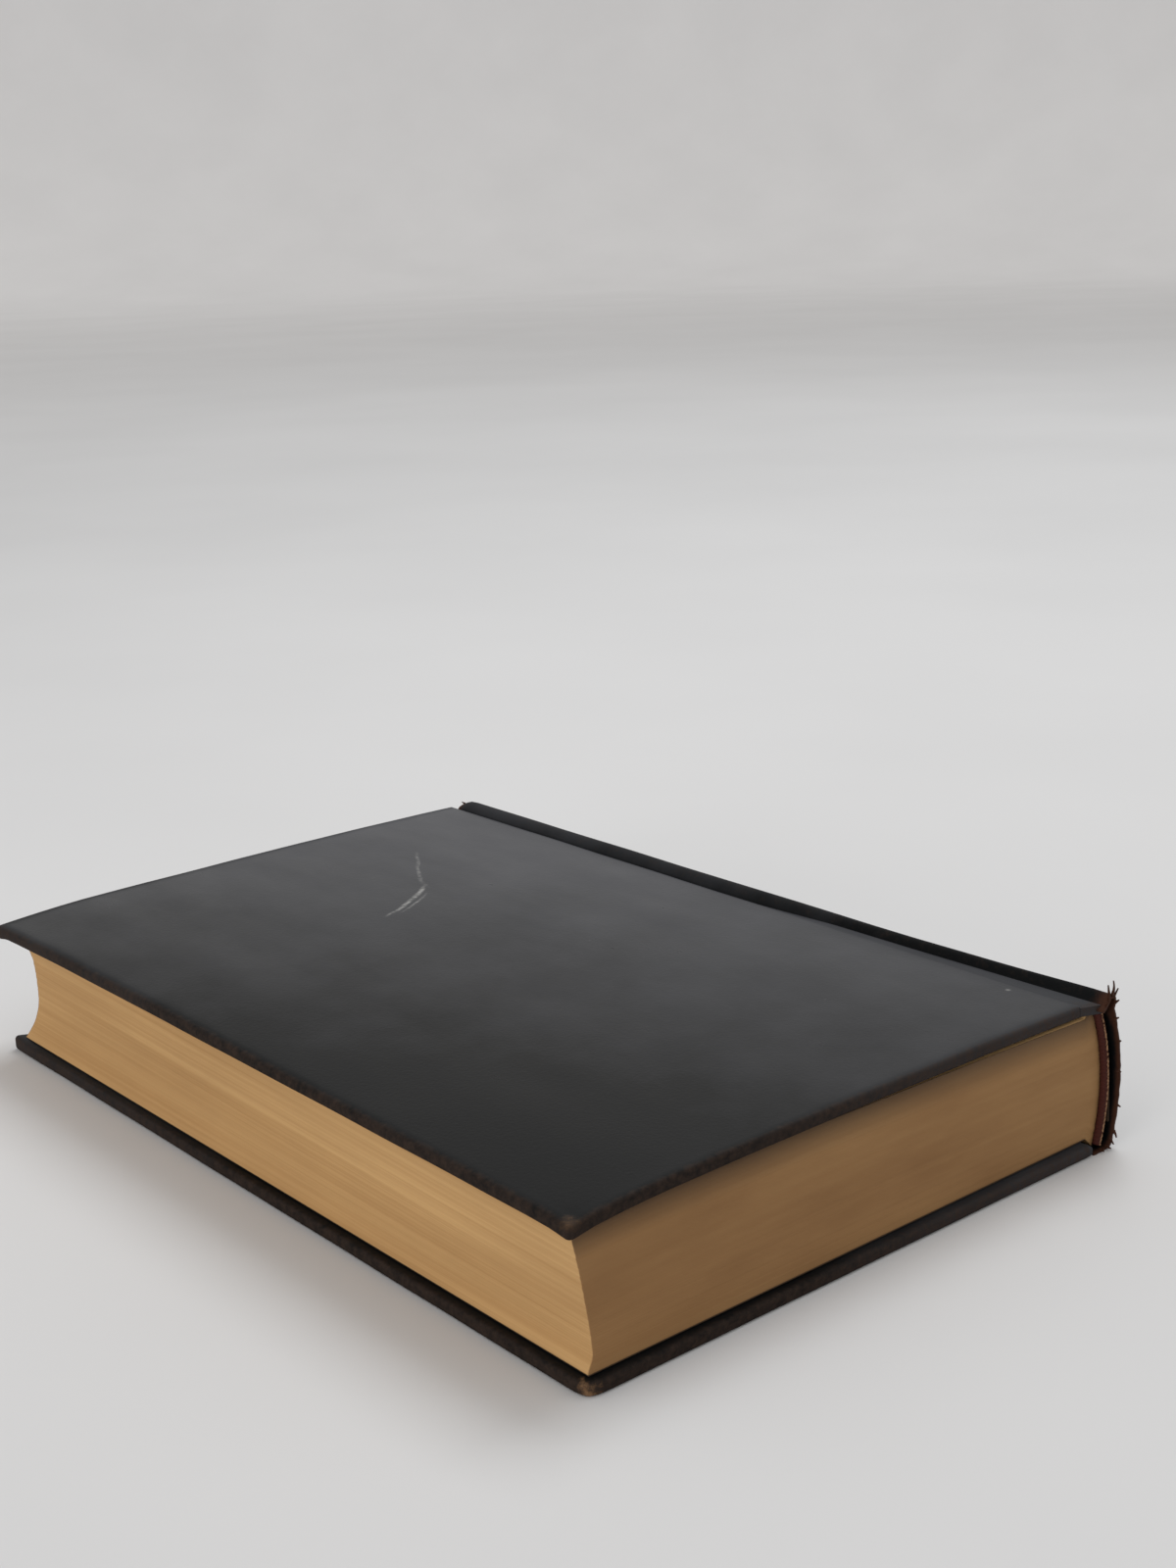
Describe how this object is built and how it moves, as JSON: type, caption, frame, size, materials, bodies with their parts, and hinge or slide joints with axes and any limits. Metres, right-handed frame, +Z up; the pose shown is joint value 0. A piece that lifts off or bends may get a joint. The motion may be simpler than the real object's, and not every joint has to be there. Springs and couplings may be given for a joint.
{
  "type": "hardback book",
  "caption": "Old hardback book lying flat: a round-backed, slightly leaning block of browned pages in a plain near-black grained cloth case, with front and back covers hinged at the spine.",
  "frame": {"origin": "middle of the footprint, on the surface that the closed book lies on", "axes": "+Z up through the front cover, +X towards the fore-edge, +Y towards the head, spine along Y on the -X side"},
  "size_m": [0.1542, 0.2326, 0.036],
  "materials": {
    "page_edges": "browned page edges, trimmed, faintly stained",
    "endpaper": "aged uncoated paper",
    "cover_cloth": "near-black grained bookcloth, low sheen, rubbed brown at corners and spine ends",
    "pulp_board": "brown pulp board",
    "card": "thin card",
    "lining": "glued gauze and paper",
    "endband": "dark red thread over a cord, paler along the bead"
  },
  "bodies": {
    "book_block": {"text_block": "page_edges", "spine_lining": "lining", "head_band": "endband", "tail_band": "endband", "spine_inlay": "card", "spine_cloth": "cover_cloth", "front_free_endpaper": "endpaper", "back_free_endpaper": "endpaper"},
    "front_cover": {"front_board": "pulp_board", "front_cover_cloth": "cover_cloth", "front_pastedown": "endpaper"},
    "back_cover": {"back_board": "pulp_board", "back_cover_cloth": "cover_cloth", "back_pastedown": "endpaper"}
  },
  "joints": [
    {"name": "front_hinge", "type": "hinge", "parent": "book_block", "child": "front_cover", "pos_m": [-0.0681, 0, 0.03535], "axis": [0, -1, 0], "range_deg": [0, 179]},
    {"name": "back_hinge", "type": "hinge", "parent": "book_block", "child": "back_cover", "pos_m": [-0.0681, 0, -0.0003], "axis": [0, 1, 0], "range_deg": [0, 179]}
  ]
}
